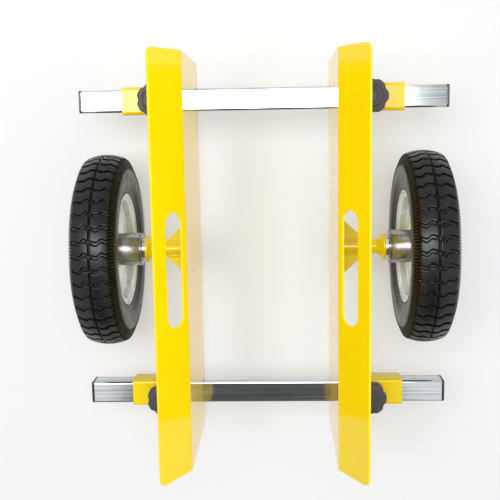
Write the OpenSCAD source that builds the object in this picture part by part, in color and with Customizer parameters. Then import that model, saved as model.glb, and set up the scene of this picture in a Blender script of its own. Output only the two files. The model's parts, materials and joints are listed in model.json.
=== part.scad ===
// Drywall cart: two flanged side plates on wheels, sliding on two crossbars.
// Millimetres. X runs along the crossbars, Y along the panel, Z is up.
// The origin lies on the floor under the middle of the cart.

/* [Crossbars] */
// Outer width of the square crossbar tube
tube_w = 40; // [30:1:50]
// Wall of the crossbar tube
tube_wall = 2; // [1.5:0.5:4]
// Outer corner radius of the crossbar tube
tube_corner = 4; // [3:0.5:6]
// Length of a crossbar tube without its caps
tube_len = 650; // [600:5:800]
// Distance between the two crossbars
bar_pitch = 540; // [400:5:560]

/* [End caps] */
// Thickness of the cap outside the tube
cap_plate = 5; // [3:0.5:8]
// Length of the plug inside the tube
cap_plug_len = 22; // [10:1:40]
// Wall of the hollow plug
cap_plug_wall = 2; // [1.5:0.5:4]
// Radius round the outer edge of the cap
cap_edge = 1.5; // [1:0.5:2.5]

/* [Side plates] */
// Clear width between the two side plates
clear_gap = 238; // [150:2:300]
// Sheet thickness of the side plates
plate_t = 4; // [3:0.5:5]
// Length of the side plates along Y
plate_len = 672; // [600:2:720]
// Height of the bend line above the floor
bend_z = 398; // [370:1:450]
// Height of the plates' lower edge above the bottom of the crossbars
plate_lift = 6; // [0:1:12]
// Radius on the panel side of the bend
bend_r = 9; // [6:0.5:14]
// Width of the leaning flange
flange_w = 79; // [60:1:90]
// Lean of the flange from the vertical, degrees
flange_lean = 31.5; // [20:0.5:45]
// Corner radius of the flange
flange_corner = 12; // [4:1:20]
// Length of the hand slot
slot_len = 182; // [120:2:220]
// Width of the hand slot
slot_w = 40; // [30:1:44]
// Distance from the bend line to the hand slot
slot_edge = 10.5; // [6:0.5:14]
// Diameter of the relief holes in the corners of the crossbar notches
relief_d = 6; // [4:0.5:10]

/* [Sleeves] */
// Length of a sleeve outside the side plate
sleeve_len = 128; // [90:2:140]
// Wall of a sleeve
sleeve_wall = 4; // [3:0.5:6]
// Outer corner radius of a sleeve
sleeve_corner = 6; // [5:0.5:9]
// Slide clearance between the crossbar and what goes round it
slide_gap = 0.5; // [0.3:0.1:0.8]

/* [Clamp screws] */
// Diameter of the clamp screw
screw_d = 12; // [10:1:16]
// Height of the welded nut
nut_h = 10; // [8:1:14]
// Width across the flats of the welded nut
nut_flats = 19; // [17:1:27]
// Diameter of the star knob
knob_d = 62; // [50:1:70]
// Height of the star knob
knob_h = 21; // [16:1:30]
// Number of lobes on the star knob
knob_lobes = 7; // [5:1:9]
// Radius of the hollows between the lobes
hollow_r = 18; // [12:1:24]
// Depth of the hollows between the lobes
hollow_depth = 4.5; // [2:0.5:6]
// Diameter of the boss under the knob
knob_boss_d = 26; // [22:1:32]

/* [Axles] */
// Diameter of the axle
axle_d = 25; // [20:1:25]
// Diameter of the threaded end of the axle
thread_d = 16; // [12:1:18]
// Diameter of the welded collar
collar_d = 50; // [44:1:56]
// Thickness of the collar's flat rim
collar_t = 6; // [4:0.5:10]
// Length of the weld cone behind the collar
cone_len = 9; // [5:0.5:12]
// Diameter of the weld cone at the collar
cone_d = 38; // [32:1:42]
// Leg of a gusset along the axle
gusset_out = 62; // [40:1:80]
// Leg of a gusset along the side plate
gusset_along = 57; // [40:1:80]
// Thickness of a gusset
gusset_t = 6; // [4:0.5:10]
// Diameter of the washers inside the wheel
washer_d = 42; // [36:1:46]
// Thickness of one washer
washer_t = 2.8; // [2:0.1:4]
// Height of the axle nut
axle_nut_h = 12; // [10:1:16]
// Width across the flats of the axle nut
axle_nut_flats = 24; // [22:1:30]

/* [Wheels] */
// Outside diameter of the tyre
tyre_d = 350; // [330:1:380]
// Section width of the tyre
tyre_w = 80; // [70:1:90]
// Distance from the side plate's panel face to the wheel's middle plane
wheel_reach = 168.5; // [160:0.5:190]
// Width of the tread
tread_w = 60; // [50:1:66]
// Fall of the tread from its crown to its edge
tread_fall = 6; // [3:0.5:10]
// Width of the groove round the middle of the tread
groove_w = 4; // [2:0.5:6]
// Number of wavy grooves across the tread
cross_count = 46; // [36:1:54]
// Width of a wavy groove
cross_w = 7; // [3:0.5:9]
// Depth of a wavy groove, a little less than that of the middle groove
cross_depth = 3.4; // [1.5:0.1:4.5]
// Height of a groove's waves from its middle line
wave_h = 3; // [1:0.5:4]
// Depth of the groove round the middle of the tread
groove_depth = 4; // [2:0.5:5]
// Thickness of the tread
tread_t = 11; // [9:0.5:14]
// Thickness of the sidewall
sidewall_t = 5; // [4:0.5:8]
// Thickness of the rim sheet
rim_t = 2.5; // [2:0.5:4]
// Diameter of the seat that carries the tyre's beads
rim_seat_d = 184; // [176:1:190]
// Height of the rim's lip above the seat
rim_lip_h = 11; // [8:0.5:14]
// Distance between the outsides of the two rim lips
rim_w = 66; // [58:1:70]
// Outside diameter of the hub
hub_d = 60; // [56:1:70]
// Length of the hub
hub_len = 86; // [70:1:90]
// Outside diameter of a wheel bearing
bearing_d = 52; // [47:1:52]
// Width of a wheel bearing
bearing_w = 15; // [12:1:18]
// Wall of the tube inside the tyre
air_wall = 2; // [1.5:0.5:3]
// Diameter of the valve stem
valve_d = 8; // [6:0.5:10]
// Length of the valve stem outside the rim
valve_len = 24; // [16:1:32]

/* [Hidden] */
$fn = 64;
// Overrun of every cut past the face that it opens
over = 1;
// Radial clearance of a shaft that turns or slides in a bore
run_gap = 0.04;
// Clearance between pieces that turn past each other
turn_gap = 0.4;
// Clearance round a piece that is welded or moulded in place
seat_gap = 0.1;
// Distance between a tightened clamp screw's tip and the crossbar
tip_gap = 0.3;
// Steps in a bend or a rounded edge
bend_steps = 6;
// Steps in the rounded edge of an end cap
edge_steps = 3;
// Steps in one curved stretch of the tyre's outline
tyre_steps = 8;
// Steps in one half of the tread's crown
crown_steps = 4;

wheel_z = tyre_d / 2;
tube_top = wheel_z + tube_w / 2;
tube_bottom = wheel_z - tube_w / 2;
bar_y = bar_pitch / 2;
sleeve_in = tube_w + 2 * slide_gap;
sleeve_out = sleeve_in + 2 * sleeve_wall;
sleeve_top = wheel_z + sleeve_out / 2;
wall_in = clear_gap / 2;
wall_out = wall_in + plate_t;
sleeve_mid = wall_out + sleeve_len / 2;
flange_rise = flange_w * cos(flange_lean);
flange_run = flange_w * sin(flange_lean);

// Heights of the clamp, upwards from the sleeve
knob_gap = 10;
knob_boss_h = 2.5;
nut_top = sleeve_top + nut_h;
knob_boss_z = nut_top + knob_gap;
knob_z = knob_boss_z + knob_boss_h;
knob_top = knob_z + knob_h;
knob_edge = 4;
knob_crown_d = 40;
knob_crown_h = 2;
knob_cover = 5;
screw_hole_gap = 0.5;

// Places along the axle, outwards from the middle of the cart
wheel_x = wall_in + wheel_reach;
hub_share = 0.708;
hub_x0 = wheel_x - hub_len * hub_share;
hub_x1 = hub_x0 + hub_len;
washer_x0 = hub_x0 - turn_gap - 2 * washer_t - seat_gap;
collar_x0 = washer_x0 - collar_t;
cone_x0 = collar_x0 - cone_len;
shoulder_x = hub_x1 + turn_gap;
outer_washer_x1 = shoulder_x + washer_t;
nut_x1 = outer_washer_x1 + axle_nut_h;
thread_end = 1.6;
thread_chamfer = 1.5;
collar_chamfer = 1;
hub_chamfer = 1;
hub_inner_d = 44;
seam_x = 2.6;
seam_w = 0.9;
seam_depth = 1;
spacer_wall = 4;
bearing_groove_share = 0.3;
bearing_groove = 0.8;

// Section of the rim, measured from the wheel's middle plane
rim_curl = 3;
rim_seat_edge = 14;
rim_well_edge = 9;
rim_well_drop = 10;
rim_wall_run = 11;
rim_bend = 3;
rim_lip_d = rim_seat_d + 2 * rim_lip_h;
rim_web_r = rim_seat_d / 2 - rim_well_drop - rim_wall_run;
bead_t = 11;
bead_w = 8;
bead_gap = 0.4;
bead_x = rim_w / 2 - rim_curl - rim_t - bead_gap;

// Pull of the shoulder's curve at the tread's edge and at the widest place, as shares of the tyre's bulge
edge_shares = [0.3, 0.2];
wide_share = 0.65;

// Turning points of a groove over half the tread, as shares of its width and of the waves' height
wave_shares = [[0, 0], [0.3, 1], [0.6, -1], [1, 0]];

// Clearance of the air tube inside the tyre
air_gap = 1;

// Middle of the sloping rim wall that the valve stem goes through, and the sizes of the valve
valve_wall_a = [rim_web_r, rim_t / 2];
valve_wall_b = [rim_seat_d / 2 - rim_t / 2 - rim_well_drop, rim_well_edge];
valve_root = (valve_wall_a + valve_wall_b) / 2;
valve_tilt = atan2(valve_wall_b[1] - valve_wall_a[1], valve_wall_b[0] - valve_wall_a[0]);
valve_foot = 5;
valve_hole_gap = 0.2;
valve_cap_d = 10;
valve_cap_len = 12;
valve_tip = 8;
valve_tip_d = 5.6;

function unit(v) = v / norm(v);
function left_of(v) = [-v[1], v[0]];
function step_dir(p, i) = unit(p[i + 1] - p[i]);
function side_dir(p, i) =
    let (a = left_of(step_dir(p, max(i - 1, 0))))
    let (b = left_of(step_dir(p, min(i, len(p) - 2))))
    (a + b) / (1 + a * b);
function shifted(p, d) = [for (i = [0 : len(p) - 1]) p[i] + d * side_dir(p, i)];
function backwards(p) = [for (i = [len(p) - 1 : -1 : 0]) p[i]];
function curve3(a, b, c, t) = (1 - t) * (1 - t) * a + 2 * t * (1 - t) * b + t * t * c;
function curve4(a, b, c, d, t) =
    (1 - t) * curve3(a, b, c, t) + t * curve3(b, c, d, t);

// A line whose inner corners are rounded, starting each curve a tangent before the corner
function corner(a, b, c, tangent) =
    [for (k = [0 : bend_steps])
        curve3(b + tangent * unit(a - b), b, b + tangent * unit(c - b), k / bend_steps)];
function bent_line(p, tangent) = concat(
    [p[0]],
    [for (i = [1 : len(p) - 2]) each corner(p[i - 1], p[i], p[i + 1], tangent)],
    [p[len(p) - 1]]);

// Section of a sheet that lies on the left of a line
function sheet(p, t) = concat(p, backwards(shifted(p, t)));

module right_side() { children(); }
module left_side() { mirror([1, 0, 0]) children(); }
module left_turned() { rotate([0, 0, 180]) children(); }
module rear_end() { translate([0, bar_y, 0]) children(); }
module front_end() { mirror([0, 1, 0]) translate([0, bar_y, 0]) children(); }

// Turns a shape round Z into one round the axle, with its own Z pointing outwards
module on_axle(x) { translate([x, 0, wheel_z]) rotate([0, 90, 0]) children(); }

module rounded_square(w, r) {
    square([w, w - 2 * r], center = true);
    square([w - 2 * r, w], center = true);
    for (x = [-1, 1], y = [-1, 1])
        translate([x * (w / 2 - r), y * (w / 2 - r)]) circle(r);
}

module square_tube(w, wall, r, l) {
    linear_extrude(l) difference() {
        rounded_square(w, r);
        rounded_square(w - 2 * wall, max(r - wall, wall / 2));
    }
}

module ring(outer_d, inner_d, l) {
    difference() {
        cylinder(d = outer_d, h = l);
        translate([0, 0, -over]) cylinder(d = inner_d, h = l + 2 * over);
    }
}

module hex_nut(flats, bore_d, h) {
    corners = flats / cos(30);
    chamfer = (corners - flats) / 2;
    difference() {
        intersection() {
            cylinder(d = corners, h = h, $fn = 6);
            rotate_extrude() polygon([
                [0, 0], [flats / 2, 0], [corners / 2, chamfer],
                [corners / 2, h - chamfer], [flats / 2, h], [0, h]]);
        }
        translate([0, 0, -over]) cylinder(d = bore_d, h = h + 2 * over);
    }
}

// Crossbars

module crossbar() {
    color("lightsteelblue")
        translate([-tube_len / 2, 0, wheel_z]) rotate([0, 90, 0])
            square_tube(tube_w, tube_wall, tube_corner, tube_len);
}

// Plug with a plate over the tube's end, at the right end of a crossbar
module end_cap() {
    plug_w = tube_w - 2 * tube_wall - 2 * seat_gap;
    plug_r = max(tube_corner - tube_wall, tube_wall / 2);
    color("dimgray") translate([tube_len / 2, 0, wheel_z]) rotate([0, 90, 0]) {
        for (k = [0 : edge_steps]) {
            a = 90 * k / edge_steps;
            inset = cap_edge * (1 - cos(a));
            linear_extrude(cap_plate - cap_edge * (1 - sin(a)))
                rounded_square(tube_w - 2 * inset, tube_corner - inset);
        }
        translate([0, 0, -cap_plug_len])
            square_tube(plug_w, cap_plug_wall, plug_r, cap_plug_len + cap_plate / 2);
    }
}

// Side frames

module plate_section() {
    line = bent_line([
        [wall_in, tube_bottom + plate_lift], [wall_in, bend_z],
        [wall_in + flange_run, bend_z + flange_rise]], bend_r * tan(flange_lean / 2));
    polygon(sheet(line, -plate_t));
}

// Places a shape on the flange: X along the cart, Y up the flange, Z through the sheet
module on_flange() {
    translate([wall_in, 0, bend_z]) rotate([0, flange_lean, 0]) rotate([90, 0, 90]) children();
}

module slot_cut(l, w, h) {
    r = w / 2;
    translate([-l / 2 + r, -r, -h / 2]) cube([l - w, w, h]);
    for (x = [-1, 1])
        translate([x * (l / 2 - r), 0, -h / 2]) cylinder(r = r, h = h);
}

module flange_corner_cut() {
    depth = plate_t + 2 * over;
    for (s = [-1, 1])
        translate([s * plate_len / 2, flange_w, 0]) mirror([s < 0 ? 1 : 0, 0, 0])
            translate([-flange_corner, -flange_corner, -over]) difference() {
                cube([flange_corner + over, flange_corner + over, depth]);
                cylinder(r = flange_corner, h = depth);
            }
}

module notch_cut() {
    top = tube_top + slide_gap;
    width = tube_w + 2 * slide_gap;
    translate([wall_in - over, -width / 2, tube_bottom - over])
        cube([plate_t + 2 * over, width, top - tube_bottom + over]);
    for (y = [-1, 1])
        translate([wall_in - over, y * width / 2, top]) rotate([0, 90, 0])
            cylinder(d = relief_d, h = plate_t + 2 * over);
}

module side_plate() {
    color("gold") difference() {
        translate([0, plate_len / 2, 0]) rotate([90, 0, 0])
            linear_extrude(plate_len) plate_section();
        on_flange() {
            translate([0, slot_edge + slot_w / 2, plate_t / 2])
                slot_cut(slot_len, slot_w, plate_t + 2 * over);
            flange_corner_cut();
        }
        rear_end() notch_cut();
        front_end() notch_cut();
    }
}

module sleeve() {
    hole_d = screw_d + 2 * screw_hole_gap;
    color("gold") difference() {
        translate([wall_out, 0, wheel_z]) rotate([0, 90, 0])
            square_tube(sleeve_out, sleeve_wall, sleeve_corner, sleeve_len);
        translate([sleeve_mid, 0, wheel_z]) cylinder(d = hole_d, h = sleeve_out);
    }
}

module weld_nut() {
    color("goldenrod") translate([sleeve_mid, 0, sleeve_top])
        hex_nut(nut_flats, screw_d + 2 * run_gap, nut_h);
}

module axle() {
    bar_end = shoulder_x;
    stud_end = nut_x1 + thread_end;
    color("gold") on_axle(0) rotate_extrude() polygon([
        [0, wall_out], [axle_d / 2, wall_out], [axle_d / 2, bar_end],
        [thread_d / 2, bar_end], [thread_d / 2, stud_end - thread_chamfer],
        [thread_d / 2 - thread_chamfer, stud_end], [0, stud_end]]);
}

// Two triangles in the level plane of the axle
module gussets() {
    root = axle_d / 2;
    color("gold") for (s = [0, 1]) mirror([0, s, 0]) difference() {
        translate([wall_out, 0, wheel_z - gusset_t / 2]) linear_extrude(gusset_t)
            polygon([[0, root - gusset_t / 2], [gusset_out, root - gusset_t / 2],
                [gusset_out, root], [0, root + gusset_along]]);
        on_axle(wall_out - over)
            cylinder(d = axle_d + 2 * seat_gap, h = gusset_out + 2 * over);
    }
}

module collar() {
    bore_r = axle_d / 2 + seat_gap;
    color("gold") on_axle(0) rotate_extrude() polygon([
        [bore_r, cone_x0], [bore_r + collar_chamfer, cone_x0], [cone_d / 2, collar_x0],
        [collar_d / 2 - collar_chamfer, collar_x0], [collar_d / 2, collar_x0 + collar_chamfer],
        [collar_d / 2, washer_x0 - collar_chamfer], [collar_d / 2 - collar_chamfer, washer_x0],
        [bore_r, washer_x0]]);
}

module inner_washers() {
    bore_d = axle_d + 2 * tip_gap;
    color("silver") for (k = [0, 1])
        on_axle(washer_x0 + k * (washer_t + seat_gap)) ring(washer_d, bore_d, washer_t);
}

module bearing_spacer() {
    bore_d = axle_d + 2 * tip_gap;
    x0 = hub_x0 + bearing_w + turn_gap;
    x1 = hub_x1 - bearing_w - turn_gap;
    color("silver") on_axle(x0) ring(bore_d + 2 * spacer_wall, bore_d, x1 - x0);
}

module outer_washer() {
    color("silver") on_axle(shoulder_x) ring(washer_d, thread_d + 2 * tip_gap, washer_t);
}

module axle_nut() {
    color("silver") on_axle(outer_washer_x1)
        hex_nut(axle_nut_flats, thread_d + 2 * seat_gap, axle_nut_h);
}

// Clamps

module clamp_screw() {
    tip_z = tube_top + tip_gap;
    head_z = knob_top - knob_cover;
    color("silver") translate([sleeve_mid, 0, 0]) rotate_extrude() polygon([
        [0, tip_z], [screw_d / 2 - thread_chamfer, tip_z], [screw_d / 2, tip_z + thread_chamfer],
        [screw_d / 2, head_z], [0, head_z]]);
}

module knob_section() {
    r = knob_d / 2;
    crown_r = knob_crown_d / 2;
    bore_r = screw_d / 2 + run_gap;
    rim_top = knob_top - knob_crown_h;
    bore_top = knob_top - knob_cover + tip_gap;
    polygon(concat(
        [[bore_r, knob_boss_z], [knob_boss_d / 2, knob_boss_z], [knob_boss_d / 2, knob_z]],
        [[r - knob_edge / 2, knob_z], [r, knob_z + knob_edge / 2]],
        [for (k = [0 : bend_steps])
            let (a = 90 * k / bend_steps)
            [r - knob_edge * (1 - cos(a)), rim_top - knob_edge * (1 - sin(a))]],
        [[crown_r, rim_top], [crown_r - knob_crown_h, knob_top], [0, knob_top]],
        [[0, bore_top], [bore_r, bore_top]]));
}

module clamp_knob() {
    hollow_x = knob_d / 2 - hollow_depth + hollow_r;
    color("darkslategray") translate([sleeve_mid, 0, 0]) difference() {
        rotate_extrude() knob_section();
        for (k = [0 : knob_lobes - 1])
            rotate([0, 0, 360 * (k + 0.5) / knob_lobes])
                translate([hollow_x, 0, knob_z - over])
                    cylinder(r = hollow_r, h = knob_h + 2 * over);
    }
}

// Wheels, each built round its middle plane with Z pointing outwards

// Tube with a seat for a bearing at each end, and the seam of its end cover near the inner end
module hub() {
    bore_r = bearing_d / 2 + seat_gap;
    color("silver") on_axle(hub_x0) rotate_extrude() polygon([
        [bore_r, 0], [hub_d / 2 - hub_chamfer, 0], [hub_d / 2, hub_chamfer],
        [hub_d / 2, seam_x], [hub_d / 2 - seam_depth, seam_x],
        [hub_d / 2 - seam_depth, seam_x + seam_w], [hub_d / 2, seam_x + seam_w],
        [hub_d / 2, hub_len - hub_chamfer], [hub_d / 2 - hub_chamfer, hub_len],
        [bore_r, hub_len], [bore_r, hub_len - bearing_w], [hub_inner_d / 2, hub_len - bearing_w],
        [hub_inner_d / 2, bearing_w], [bore_r, bearing_w]]);
}

// Sealed bearing with a shield sunk a little between its two rings
module bearing(x) {
    inner_r = axle_d / 2 + run_gap;
    outer_r = bearing_d / 2;
    ring_t = (outer_r - inner_r) * bearing_groove_share;
    color("gray") on_axle(x) rotate_extrude() polygon([
        [inner_r, 0], [inner_r + ring_t, 0], [inner_r + ring_t, bearing_groove],
        [outer_r - ring_t, bearing_groove], [outer_r - ring_t, 0], [outer_r, 0],
        [outer_r, bearing_w], [outer_r - ring_t, bearing_w],
        [outer_r - ring_t, bearing_w - bearing_groove],
        [inner_r + ring_t, bearing_w - bearing_groove],
        [inner_r + ring_t, bearing_w], [inner_r, bearing_w]]);
}

module inner_bearing() { bearing(hub_x0); }
module outer_bearing() { bearing(hub_x1 - bearing_w); }

// Middle line of the sheet of the outer rim half, as [radius, distance from the middle plane]
function rim_line() =
    let (seat_r = rim_seat_d / 2 - rim_t / 2)
    let (lip_r = rim_lip_d / 2 - rim_t / 2)
    let (side_x = rim_w / 2 - rim_curl - rim_t / 2)
    bent_line([
        [hub_d / 2 + seat_gap, rim_t / 2], [rim_web_r, rim_t / 2],
        [seat_r - rim_well_drop, rim_well_edge], [seat_r, rim_seat_edge], [seat_r, side_x],
        [lip_r, side_x], [lip_r, side_x + rim_curl + rim_t / 2]], rim_bend);

module rim_half() {
    line = rim_line();
    color("gainsboro") rotate_extrude() polygon(concat(
        shifted(line, -rim_t / 2), backwards(shifted(line, rim_t / 2))));
}

// Places a shape at the valve, with Z pointing out of the rim along the stem
module on_valve() {
    translate([0, valve_root[0], valve_root[1]]) rotate([valve_tilt, 0, 0]) children();
}

module rim_inner() { on_axle(wheel_x) mirror([0, 0, 1]) rim_half(); }

module rim_outer() {
    color("gainsboro") on_axle(wheel_x) difference() {
        rim_half();
        on_valve() translate([0, 0, -valve_foot])
            cylinder(d = valve_d + 2 * valve_hole_gap, h = valve_len);
    }
}

module valve() {
    color("dimgray") on_axle(wheel_x) on_valve() {
        translate([0, 0, -valve_foot]) cylinder(d = valve_d, h = valve_foot + valve_len);
        translate([0, 0, valve_len]) cylinder(d = valve_tip_d, h = valve_tip);
    }
}

module valve_cap() {
    bore_d = valve_tip_d + 2 * seat_gap;
    color("black") on_axle(wheel_x) on_valve() translate([0, 0, valve_len]) difference() {
        cylinder(d = valve_cap_d, h = valve_cap_len);
        translate([0, 0, -over]) cylinder(d = bore_d, h = valve_tip + over + seat_gap);
    }
}

// Outer line of one half of the tyre's section, from the crown to the bead
function tyre_outer() =
    let (r = tyre_d / 2)
    let (edge = [r - tread_fall, tread_w / 2])
    let (wide = [(r + rim_lip_d / 2) / 2, tyre_w / 2])
    let (bead = [rim_lip_d / 2 + rim_t, rim_w / 2])
    let (seat = [rim_seat_d / 2 + bead_gap, bead_x])
    let (bulge = tyre_w - tread_w)
    concat(
        [[r - groove_depth, 0], [r - groove_depth, groove_w / 2], [r, groove_w / 2]],
        [for (k = [1 : crown_steps])
            let (x = groove_w / 2 + (edge[1] - groove_w / 2) * k / crown_steps)
            [r - tread_fall * pow(x / edge[1], 2), x]],
        [for (k = [1 : tyre_steps])
            curve4(edge, edge + bulge * [-edge_shares[0], edge_shares[1]], wide + [bulge * wide_share, 0],
                wide, k / tyre_steps)],
        [for (k = [1 : tyre_steps])
            curve4(wide, wide - [bulge, 0], bead + [bulge, bulge / 4], bead, k / tyre_steps)],
        [[rim_lip_d / 2 + bead_gap, bead_x], seat]);

// Line inside one half of the tyre, from the rim seat's middle or the bead to the crown,
// drawn in from the tyre's own inner face by an inset
function inside_line(inset) =
    let (r = tyre_d / 2 - tread_t - inset)
    let (wide = [(tyre_d + rim_lip_d) / 4, tyre_w / 2 - sidewall_t - inset])
    let (neck = [rim_seat_d / 2 + bead_t, bead_x - bead_w / 2 - inset])
    let (bulge = tyre_w - tread_w)
    concat(
        [for (k = [0 : tyre_steps])
            curve4(neck, neck + [bulge, 0], wide - [bulge, 0], wide, k / tyre_steps)],
        [for (k = [1 : tyre_steps])
            curve4(wide, wide + [bulge, 0], [r, tread_w / 2], [r, 0], k / tyre_steps)]);
function bead_toe(inset) = [rim_seat_d / 2 + bead_gap + inset, bead_x - bead_w - inset];

// Both halves of a section from one half's line
function both_halves(half) = concat(half, [for (p = backwards(half)) [p[0], -p[1]]]);

// Wavy line across one half of the tread, starting at side -1 or 1 of the middle groove
function groove_line(side) =
    let (half = tread_w / 2)
    let (start = side < 0 ? -half : 0)
    let (waves = [for (p = wave_shares) [start + p[0] * half, p[1] * wave_h]])
    side < 0 ? concat([[-tyre_w / 2, 0]], waves) : concat(waves, [[tyre_w / 2, 0]]);

// One half of a wavy groove, whose floor falls with the crown towards the shoulder
module groove_half(side) {
    line = groove_line(side);
    near = [for (p = line) [-p[0], p[1] - cross_w / 2]];
    far = [for (p = line) [-p[0], p[1] + cross_w / 2]];
    fall = atan2(tread_fall, tread_w / 2);
    translate([tyre_d / 2 - cross_depth, 0, 0]) rotate([0, 90 - side * fall, 0])
        linear_extrude(cross_depth + tread_fall) polygon(concat(near, backwards(far)));
}

module tyre() {
    color("black") on_axle(wheel_x) difference() {
        rotate_extrude(convexity = 6)
            polygon(both_halves(concat(tyre_outer(), [bead_toe(0)], inside_line(0))));
        for (k = [0 : cross_count - 1], side = [-1, 1])
            rotate([0, 0, 360 * (k + 1 / 2) / cross_count]) groove_half(side);
    }
}

// Section of the air tube, which follows the inside of the tyre and closes over the rim
module air_section(inset) {
    line = inside_line(inset);
    toe = bead_toe(inset);
    low = [toe[0], 0];
    polygon(both_halves(concat(
        [for (k = [0 : tyre_steps - 1]) curve3(low, toe, line[0], k / tyre_steps)], line)));
}

module inner_tube() {
    color("darkslategray") on_axle(wheel_x) rotate_extrude(convexity = 6) difference() {
        air_section(air_gap);
        air_section(air_gap + air_wall);
    }
}

front_end() crossbar();  // front_tube
rear_end() crossbar();  // rear_tube
left_side() front_end() end_cap();  // left_front_cap
left_side() rear_end() end_cap();  // left_rear_cap
right_side() front_end() end_cap();  // right_front_cap
right_side() rear_end() end_cap();  // right_rear_cap

left_side() side_plate();  // left_side_plate
left_side() front_end() sleeve();  // left_front_sleeve
left_side() rear_end() sleeve();  // left_rear_sleeve
left_side() front_end() weld_nut();  // left_front_nut
left_side() rear_end() weld_nut();  // left_rear_nut
left_side() axle();  // left_axle
left_side() gussets();  // left_gussets
left_side() collar();  // left_collar
left_side() inner_washers();  // left_inner_washers
left_side() bearing_spacer();  // left_bearing_spacer
left_side() outer_washer();  // left_outer_washer
left_side() axle_nut();  // left_axle_nut

right_side() side_plate();  // right_side_plate
right_side() front_end() sleeve();  // right_front_sleeve
right_side() rear_end() sleeve();  // right_rear_sleeve
right_side() front_end() weld_nut();  // right_front_nut
right_side() rear_end() weld_nut();  // right_rear_nut
right_side() axle();  // right_axle
right_side() gussets();  // right_gussets
right_side() collar();  // right_collar
right_side() inner_washers();  // right_inner_washers
right_side() bearing_spacer();  // right_bearing_spacer
right_side() outer_washer();  // right_outer_washer
right_side() axle_nut();  // right_axle_nut

left_side() front_end() clamp_screw();  // left_front_screw
left_side() rear_end() clamp_screw();  // left_rear_screw
right_side() front_end() clamp_screw();  // right_front_screw
right_side() rear_end() clamp_screw();  // right_rear_screw
left_side() front_end() clamp_knob();  // left_front_knob
left_side() rear_end() clamp_knob();  // left_rear_knob
right_side() front_end() clamp_knob();  // right_front_knob
right_side() rear_end() clamp_knob();  // right_rear_knob

left_turned() tyre();  // left_tyre
left_side() inner_tube();  // left_inner_tube
left_side() rim_inner();  // left_rim_inner
left_side() rim_outer();  // left_rim_outer
left_side() hub();  // left_hub
left_side() inner_bearing();  // left_inner_bearing
left_side() outer_bearing();  // left_outer_bearing
left_side() valve();  // left_valve
left_side() valve_cap();  // left_valve_cap

right_side() tyre();  // right_tyre
right_side() inner_tube();  // right_inner_tube
right_side() rim_inner();  // right_rim_inner
right_side() rim_outer();  // right_rim_outer
right_side() hub();  // right_hub
right_side() inner_bearing();  // right_inner_bearing
right_side() outer_bearing();  // right_outer_bearing
right_side() valve();  // right_valve
right_side() valve_cap();  // right_valve_cap
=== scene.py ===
import json
import math
import random

import bpy
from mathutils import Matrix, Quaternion, Vector


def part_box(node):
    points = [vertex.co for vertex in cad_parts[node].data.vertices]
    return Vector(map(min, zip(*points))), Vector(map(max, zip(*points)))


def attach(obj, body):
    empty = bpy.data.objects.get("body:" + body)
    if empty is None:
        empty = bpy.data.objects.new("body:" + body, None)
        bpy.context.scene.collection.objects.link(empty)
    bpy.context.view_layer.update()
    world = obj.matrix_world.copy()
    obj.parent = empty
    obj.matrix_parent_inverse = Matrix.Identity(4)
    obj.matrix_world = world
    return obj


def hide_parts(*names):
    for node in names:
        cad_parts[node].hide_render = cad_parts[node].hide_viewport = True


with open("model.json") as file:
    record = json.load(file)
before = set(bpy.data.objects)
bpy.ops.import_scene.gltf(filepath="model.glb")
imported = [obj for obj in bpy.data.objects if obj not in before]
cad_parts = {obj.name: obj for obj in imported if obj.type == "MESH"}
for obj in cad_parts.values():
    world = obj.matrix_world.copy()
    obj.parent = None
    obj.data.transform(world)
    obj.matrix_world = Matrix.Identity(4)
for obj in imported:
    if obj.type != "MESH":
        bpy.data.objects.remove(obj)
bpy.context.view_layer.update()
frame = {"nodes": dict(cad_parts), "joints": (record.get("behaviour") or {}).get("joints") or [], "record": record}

# Looks of the drywall cart: finishes for its solids, moulded tyres, knobs and caps, cut threads and welds.
# Metres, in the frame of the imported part: X along the crossbars, Y along the panel, Z up.

scene = bpy.context.scene
SIDES = {"left": -1, "right": 1}
ENDS = {"front": -1, "rear": 1}
TURN = 2 * math.pi
QUARTER = math.pi / 2

# Camera, found from the photograph: its place, its turn as a rotation vector, and its focal length in pixels
camera_place = Vector((0.0284, 0.2047, 1.6438))
camera_turn = Vector((0.1415, -0.0369, 0.0142))
focal_pixels = 801.6
image_pixels = 500
sensor_w = 36

# Light: a white surround, brighter from the right, that is dark where the photographer stands and dimmer
# high up on the right, and a long soft box above with a weaker right end
surround_level = 0.64
surround_lean = 0.72
photographer_level = 0.12
photographer_side = -0.028
photographer_half = 0.095
photographer_spread = 0.15
photographer_start = 0.18
photographer_soft = 0.04
dim_level = 0.42
dim_start = 0.165
dim_end = 0.34
dim_back = -0.14
dim_soft = 0.05
# Soft boxes as (middle along X, length along X, brightness share)
box_parts = {"soft_box": (-0.41, 1.80, 1.0), "soft_box_end": (0.575, 0.17, 0.3)}
box_y, box_z = 0.50, 2.60
box_w = 1.00
box_watts_per_area = 26.7
floor_half = 6.0
floor_colour = (0.86, 0.865, 0.875, 1)
floor_roughness = 0.7
floor_specular = 0.1
floor_glow = 0.345

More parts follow.
